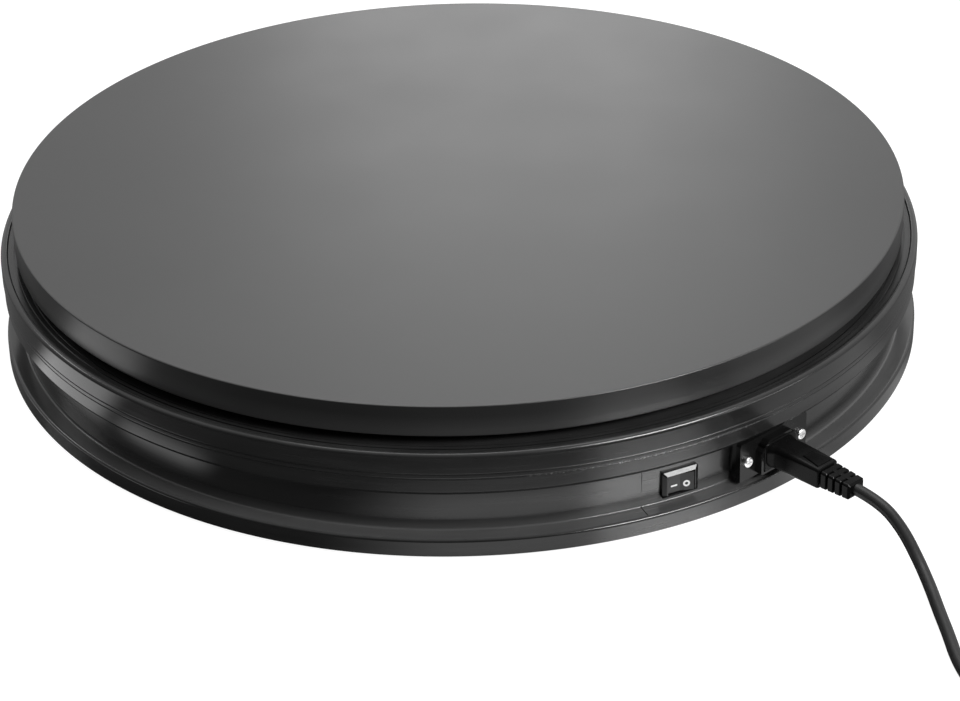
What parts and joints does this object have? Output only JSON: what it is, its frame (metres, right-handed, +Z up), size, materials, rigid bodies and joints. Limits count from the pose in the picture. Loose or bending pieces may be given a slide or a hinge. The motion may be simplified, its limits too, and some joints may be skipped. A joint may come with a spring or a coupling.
{
  "type": "turntable display stand",
  "caption": "Round motorised display turntable: matte platter on a low glossy ring base with rocker switch, mains inlet and plugged-in lead.",
  "frame": {"origin": "on the platter's axis, at the level of the undersides of the feet", "axes": "+Z up along the platter's axis; -Y is the front; the switch and the inlet are between -Y and +X"},
  "size_m": [0.6308, 0.6862, 0.085],
  "materials": {
    "platter_black": "matte black paint on fibreboard",
    "gloss_black": "glossy black moulded plastic",
    "machined_steel": "turned steel",
    "track_steel": "galvanised sheet",
    "zinc_screws": "zinc plated",
    "nickel_screws": "bright nickel plated",
    "nickel_pins": "nickel plated brass",
    "gear_nylon": "natural acetal",
    "spring_steel": "blackened spring steel",
    "bearing_steel": "ground bearing steel",
    "cage_brass": "pressed brass",
    "cast_housing": "die cast, matt",
    "motor_zinc": "zinc plated sheet",
    "bracket_steel": "zinc plated pressed steel",
    "pinion_brass": "cut brass",
    "contact_brass": "tinned brass",
    "switch_plastic": "glossy black",
    "rocker_plastic": "satin black",
    "inlet_plastic": "black thermoplastic",
    "lead_pvc": "moulded black PVC",
    "cord_pvc": "smooth black PVC",
    "fibreboard": "bare fibreboard",
    "foot_rubber": "matt rubber",
    "post_nylon": "white nylon",
    "roller_nylon": "white nylon",
    "roller_rubber": "grey black rubber",
    "wire_brown": "brown insulation",
    "wire_blue": "blue insulation",
    "wire_green": "green insulation with a yellow stripe"
  },
  "bodies": {
    "base": {"bearing_outer_race": "bearing_steel", "bearing_housing": "cast_housing", "bearing_housing_screws": "zinc_screws", "motor_can": "motor_zinc", "motor_gearbox": "motor_zinc", "motor_bracket": "bracket_steel", "motor_screws": "zinc_screws", "roller_axles": "machined_steel", "roller_brackets": "bracket_steel", "bracket_screws": "zinc_screws", "switch_housing": "switch_plastic", "switch_terminals": "contact_brass", "inlet_body": "inlet_plastic", "inlet_pins": "contact_brass", "inlet_screws": "nickel_screws", "inlet_nuts": "zinc_screws", "cord_connector": "lead_pvc", "lower_housing": "gloss_black", "base_board": "fibreboard", "rubber_feet": "foot_rubber", "base_screws": "zinc_screws", "upper_cover": "gloss_black", "seam_trim": "gloss_black", "cover_posts": "post_nylon", "cover_screws": "zinc_screws", "live_wires": "wire_brown", "neutral_wire": "wire_blue", "earth_wire": "wire_green", "mains_cord": "cord_pvc", "cord_tail": "cord_pvc", "cord_coil": "cord_pvc", "plug_body": "lead_pvc", "plug_pins": "nickel_pins"},
    "platter": {"top_plate": "platter_black", "spindle_flange": "machined_steel", "hub_screws": "zinc_screws", "roller_track": "track_steel", "track_screws": "zinc_screws", "drive_gear": "gear_nylon", "gear_key": "machined_steel", "circlip": "spring_steel", "bearing_inner_race": "bearing_steel"},
    "ball_cage": {"bearing_balls": "bearing_steel", "bearing_cage": "cage_brass"},
    "motor_output": {"motor_shaft": "machined_steel", "pinion": "pinion_brass"},
    "rocker": {"switch_rocker": "rocker_plastic"},
    "roller_1": {"roller_1_wheel": "roller_nylon", "roller_1_tyre": "roller_rubber"},
    "roller_2": {"roller_2_wheel": "roller_nylon", "roller_2_tyre": "roller_rubber"},
    "roller_3": {"roller_3_wheel": "roller_nylon", "roller_3_tyre": "roller_rubber"},
    "roller_4": {"roller_4_wheel": "roller_nylon", "roller_4_tyre": "roller_rubber"},
    "roller_5": {"roller_5_wheel": "roller_nylon", "roller_5_tyre": "roller_rubber"},
    "roller_6": {"roller_6_wheel": "roller_nylon", "roller_6_tyre": "roller_rubber"}
  },
  "joints": [
    {"name": "platter_spin", "type": "hinge", "parent": "base", "child": "platter", "pos_m": [0, 0, 0.06], "axis": [0, 0, 1], "continuous": true},
    {"name": "ball_cage_spin", "type": "hinge", "parent": "base", "child": "ball_cage", "pos_m": [0, 0, 0.035], "axis": [0, 0, 1], "continuous": true},
    {"name": "motor_shaft_spin", "type": "hinge", "parent": "base", "child": "motor_output", "pos_m": [0, -0.0901, 0.05], "axis": [0, 0, 1], "continuous": true},
    {"name": "roller_1_spin", "type": "hinge", "parent": "base", "child": "roller_1", "pos_m": [0.19, 0, 0.0519], "axis": [1, 0, 0], "continuous": true},
    {"name": "roller_2_spin", "type": "hinge", "parent": "base", "child": "roller_2", "pos_m": [0.095, 0.16454, 0.0519], "axis": [0.5, 0.866, 0], "continuous": true},
    {"name": "roller_3_spin", "type": "hinge", "parent": "base", "child": "roller_3", "pos_m": [-0.095, 0.16454, 0.0519], "axis": [-0.5, 0.866, 0], "continuous": true},
    {"name": "roller_4_spin", "type": "hinge", "parent": "base", "child": "roller_4", "pos_m": [-0.19, 0, 0.0519], "axis": [-1, 0, 0], "continuous": true},
    {"name": "roller_5_spin", "type": "hinge", "parent": "base", "child": "roller_5", "pos_m": [-0.095, -0.16454, 0.0519], "axis": [-0.5, -0.866, 0], "continuous": true},
    {"name": "roller_6_spin", "type": "hinge", "parent": "base", "child": "roller_6", "pos_m": [0.095, -0.16454, 0.0519], "axis": [0.5, -0.866, 0], "continuous": true},
    {"name": "switch_rocker", "type": "hinge", "parent": "base", "child": "rocker", "pos_m": [0.10868, -0.22381, 0.0228], "axis": [0, 0, 1], "range_deg": [0, 16]}
  ],
  "couplings": [
    {"joint": "ball_cage_spin", "follows": "platter_spin", "ratio": 0.3815},
    {"joint": "motor_shaft_spin", "follows": "platter_spin", "ratio": -4},
    {"joint": "roller_1_spin", "follows": "platter_spin", "ratio": -12.667},
    {"joint": "roller_2_spin", "follows": "platter_spin", "ratio": -12.667},
    {"joint": "roller_3_spin", "follows": "platter_spin", "ratio": -12.667},
    {"joint": "roller_4_spin", "follows": "platter_spin", "ratio": -12.667},
    {"joint": "roller_5_spin", "follows": "platter_spin", "ratio": -12.667},
    {"joint": "roller_6_spin", "follows": "platter_spin", "ratio": -12.667}
  ]
}
